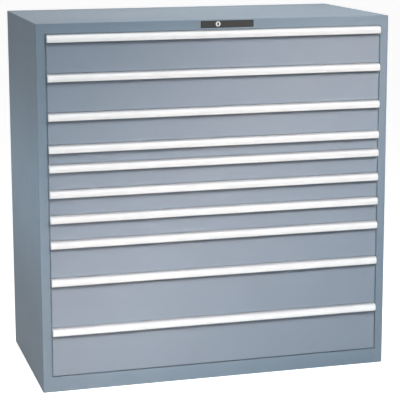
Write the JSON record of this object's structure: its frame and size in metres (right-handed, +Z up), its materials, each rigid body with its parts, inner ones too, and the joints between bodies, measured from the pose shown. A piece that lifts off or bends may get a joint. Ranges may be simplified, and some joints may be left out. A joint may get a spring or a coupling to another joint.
{
  "type": "industrial drawer cabinet",
  "caption": "Wide steel workshop drawer cabinet with stacked full-extension drawers, full-width grip rails and a central lock in the top fascia.",
  "frame": {"origin": "on the floor under the middle of the cabinet, grip rails included", "axes": "+Z up, -Y the way the drawers open, +X to the right seen from the front"},
  "size_m": [1.431, 0.745, 1.45],
  "materials": {
    "housing_paint": "grey-blue powder coat, fine texture, satin",
    "front_paint": "light grey-blue powder coat, fine texture, satin",
    "grip_aluminium": "near-white anodised extrusion, satin",
    "runner_zinc": "zinc-plated steel",
    "carriage_steel": "zinc-plated steel with polymer rollers",
    "lock_plastic": "dark grey moulded plastic, fine grain",
    "lock_chrome": "bright nickel-plated"
  },
  "bodies": {
    "housing": {"housing_side_left": "housing_paint", "housing_side_right": "housing_paint", "top_panel": "housing_paint", "top_fascia": "housing_paint", "bottom_rail": "housing_paint", "back_panel": "housing_paint", "base_panel": "housing_paint", "runner_wall_left": "runner_zinc", "runner_wall_right": "runner_zinc", "lock_plate": "lock_plastic"},
    "drawer_01": {"drawer_01": "front_paint", "handle_01": "grip_aluminium"},
    "carriage_left_01": {"carriage_left_01": "carriage_steel"},
    "carriage_right_01": {"carriage_right_01": "carriage_steel"},
    "drawer_02": {"drawer_02": "front_paint", "handle_02": "grip_aluminium"},
    "carriage_left_02": {"carriage_left_02": "carriage_steel"},
    "carriage_right_02": {"carriage_right_02": "carriage_steel"},
    "drawer_03": {"drawer_03": "front_paint", "handle_03": "grip_aluminium"},
    "carriage_left_03": {"carriage_left_03": "carriage_steel"},
    "carriage_right_03": {"carriage_right_03": "carriage_steel"},
    "drawer_04": {"drawer_04": "front_paint", "handle_04": "grip_aluminium"},
    "carriage_left_04": {"carriage_left_04": "carriage_steel"},
    "carriage_right_04": {"carriage_right_04": "carriage_steel"},
    "drawer_05": {"drawer_05": "front_paint", "handle_05": "grip_aluminium"},
    "carriage_left_05": {"carriage_left_05": "carriage_steel"},
    "carriage_right_05": {"carriage_right_05": "carriage_steel"},
    "drawer_06": {"drawer_06": "front_paint", "handle_06": "grip_aluminium"},
    "carriage_left_06": {"carriage_left_06": "carriage_steel"},
    "carriage_right_06": {"carriage_right_06": "carriage_steel"},
    "drawer_07": {"drawer_07": "front_paint", "handle_07": "grip_aluminium"},
    "carriage_left_07": {"carriage_left_07": "carriage_steel"},
    "carriage_right_07": {"carriage_right_07": "carriage_steel"},
    "drawer_08": {"drawer_08": "front_paint", "handle_08": "grip_aluminium"},
    "carriage_left_08": {"carriage_left_08": "carriage_steel"},
    "carriage_right_08": {"carriage_right_08": "carriage_steel"},
    "drawer_09": {"drawer_09": "front_paint", "handle_09": "grip_aluminium"},
    "carriage_left_09": {"carriage_left_09": "carriage_steel"},
    "carriage_right_09": {"carriage_right_09": "carriage_steel"},
    "drawer_10": {"drawer_10": "front_paint", "handle_10": "grip_aluminium"},
    "carriage_left_10": {"carriage_left_10": "carriage_steel"},
    "carriage_right_10": {"carriage_right_10": "carriage_steel"},
    "lock_cylinder": {"lock_cylinder": "lock_chrome"},
    "lock_slider": {"lock_slider": "runner_zinc"},
    "lock_bar": {"lock_bar": "runner_zinc"}
  },
  "joints": [
    {"name": "drawer_01_slide", "type": "slide", "parent": "housing", "child": "drawer_01", "axis": [0, -1, 0], "range_m": [0, 0.612]},
    {"name": "carriage_left_01_slide", "type": "slide", "parent": "housing", "child": "carriage_left_01", "axis": [0, -1, 0], "range_m": [0, 0.306]},
    {"name": "carriage_right_01_slide", "type": "slide", "parent": "housing", "child": "carriage_right_01", "axis": [0, -1, 0], "range_m": [0, 0.306]},
    {"name": "drawer_02_slide", "type": "slide", "parent": "housing", "child": "drawer_02", "axis": [0, -1, 0], "range_m": [0, 0.612]},
    {"name": "carriage_left_02_slide", "type": "slide", "parent": "housing", "child": "carriage_left_02", "axis": [0, -1, 0], "range_m": [0, 0.306]},
    {"name": "carriage_right_02_slide", "type": "slide", "parent": "housing", "child": "carriage_right_02", "axis": [0, -1, 0], "range_m": [0, 0.306]},
    {"name": "drawer_03_slide", "type": "slide", "parent": "housing", "child": "drawer_03", "axis": [0, -1, 0], "range_m": [0, 0.612]},
    {"name": "carriage_left_03_slide", "type": "slide", "parent": "housing", "child": "carriage_left_03", "axis": [0, -1, 0], "range_m": [0, 0.306]},
    {"name": "carriage_right_03_slide", "type": "slide", "parent": "housing", "child": "carriage_right_03", "axis": [0, -1, 0], "range_m": [0, 0.306]},
    {"name": "drawer_04_slide", "type": "slide", "parent": "housing", "child": "drawer_04", "axis": [0, -1, 0], "range_m": [0, 0.612]},
    {"name": "carriage_left_04_slide", "type": "slide", "parent": "housing", "child": "carriage_left_04", "axis": [0, -1, 0], "range_m": [0, 0.306]},
    {"name": "carriage_right_04_slide", "type": "slide", "parent": "housing", "child": "carriage_right_04", "axis": [0, -1, 0], "range_m": [0, 0.306]},
    {"name": "drawer_05_slide", "type": "slide", "parent": "housing", "child": "drawer_05", "axis": [0, -1, 0], "range_m": [0, 0.612]},
    {"name": "carriage_left_05_slide", "type": "slide", "parent": "housing", "child": "carriage_left_05", "axis": [0, -1, 0], "range_m": [0, 0.306]},
    {"name": "carriage_right_05_slide", "type": "slide", "parent": "housing", "child": "carriage_right_05", "axis": [0, -1, 0], "range_m": [0, 0.306]},
    {"name": "drawer_06_slide", "type": "slide", "parent": "housing", "child": "drawer_06", "axis": [0, -1, 0], "range_m": [0, 0.612]},
    {"name": "carriage_left_06_slide", "type": "slide", "parent": "housing", "child": "carriage_left_06", "axis": [0, -1, 0], "range_m": [0, 0.306]},
    {"name": "carriage_right_06_slide", "type": "slide", "parent": "housing", "child": "carriage_right_06", "axis": [0, -1, 0], "range_m": [0, 0.306]},
    {"name": "drawer_07_slide", "type": "slide", "parent": "housing", "child": "drawer_07", "axis": [0, -1, 0], "range_m": [0, 0.612]},
    {"name": "carriage_left_07_slide", "type": "slide", "parent": "housing", "child": "carriage_left_07", "axis": [0, -1, 0], "range_m": [0, 0.306]},
    {"name": "carriage_right_07_slide", "type": "slide", "parent": "housing", "child": "carriage_right_07", "axis": [0, -1, 0], "range_m": [0, 0.306]},
    {"name": "drawer_08_slide", "type": "slide", "parent": "housing", "child": "drawer_08", "axis": [0, -1, 0], "range_m": [0, 0.612]},
    {"name": "carriage_left_08_slide", "type": "slide", "parent": "housing", "child": "carriage_left_08", "axis": [0, -1, 0], "range_m": [0, 0.306]},
    {"name": "carriage_right_08_slide", "type": "slide", "parent": "housing", "child": "carriage_right_08", "axis": [0, -1, 0], "range_m": [0, 0.306]},
    {"name": "drawer_09_slide", "type": "slide", "parent": "housing", "child": "drawer_09", "axis": [0, -1, 0], "range_m": [0, 0.612]},
    {"name": "carriage_left_09_slide", "type": "slide", "parent": "housing", "child": "carriage_left_09", "axis": [0, -1, 0], "range_m": [0, 0.306]},
    {"name": "carriage_right_09_slide", "type": "slide", "parent": "housing", "child": "carriage_right_09", "axis": [0, -1, 0], "range_m": [0, 0.306]},
    {"name": "drawer_10_slide", "type": "slide", "parent": "housing", "child": "drawer_10", "axis": [0, -1, 0], "range_m": [0, 0.612]},
    {"name": "carriage_left_10_slide", "type": "slide", "parent": "housing", "child": "carriage_left_10", "axis": [0, -1, 0], "range_m": [0, 0.306]},
    {"name": "carriage_right_10_slide", "type": "slide", "parent": "housing", "child": "carriage_right_10", "axis": [0, -1, 0], "range_m": [0, 0.306]},
    {"name": "lock_turn", "type": "hinge", "parent": "housing", "child": "lock_cylinder", "pos_m": [0, -0.3525, 1.433], "axis": [0, 1, 0], "range_deg": [0, 90]},
    {"name": "lock_slider_slide", "type": "slide", "parent": "housing", "child": "lock_slider", "axis": [-1, 0, 0], "range_m": [0, 0.01]},
    {"name": "lock_bar_slide", "type": "slide", "parent": "housing", "child": "lock_bar", "axis": [0, 0, -1], "range_m": [0, 0.01]}
  ],
  "couplings": [
    {"joint": "carriage_left_01_slide", "follows": "drawer_01_slide", "ratio": 0.5},
    {"joint": "carriage_right_01_slide", "follows": "drawer_01_slide", "ratio": 0.5},
    {"joint": "carriage_left_02_slide", "follows": "drawer_02_slide", "ratio": 0.5},
    {"joint": "carriage_right_02_slide", "follows": "drawer_02_slide", "ratio": 0.5},
    {"joint": "carriage_left_03_slide", "follows": "drawer_03_slide", "ratio": 0.5},
    {"joint": "carriage_right_03_slide", "follows": "drawer_03_slide", "ratio": 0.5},
    {"joint": "carriage_left_04_slide", "follows": "drawer_04_slide", "ratio": 0.5},
    {"joint": "carriage_right_04_slide", "follows": "drawer_04_slide", "ratio": 0.5},
    {"joint": "carriage_left_05_slide", "follows": "drawer_05_slide", "ratio": 0.5},
    {"joint": "carriage_right_05_slide", "follows": "drawer_05_slide", "ratio": 0.5},
    {"joint": "carriage_left_06_slide", "follows": "drawer_06_slide", "ratio": 0.5},
    {"joint": "carriage_right_06_slide", "follows": "drawer_06_slide", "ratio": 0.5},
    {"joint": "carriage_left_07_slide", "follows": "drawer_07_slide", "ratio": 0.5},
    {"joint": "carriage_right_07_slide", "follows": "drawer_07_slide", "ratio": 0.5},
    {"joint": "carriage_left_08_slide", "follows": "drawer_08_slide", "ratio": 0.5},
    {"joint": "carriage_right_08_slide", "follows": "drawer_08_slide", "ratio": 0.5},
    {"joint": "carriage_left_09_slide", "follows": "drawer_09_slide", "ratio": 0.5},
    {"joint": "carriage_right_09_slide", "follows": "drawer_09_slide", "ratio": 0.5},
    {"joint": "carriage_left_10_slide", "follows": "drawer_10_slide", "ratio": 0.5},
    {"joint": "carriage_right_10_slide", "follows": "drawer_10_slide", "ratio": 0.5},
    {"joint": "lock_slider_slide", "follows": "lock_bar_slide", "ratio": 1},
    {"joint": "lock_turn", "follows": "lock_bar_slide", "rad_per_m": 157.07}
  ]
}
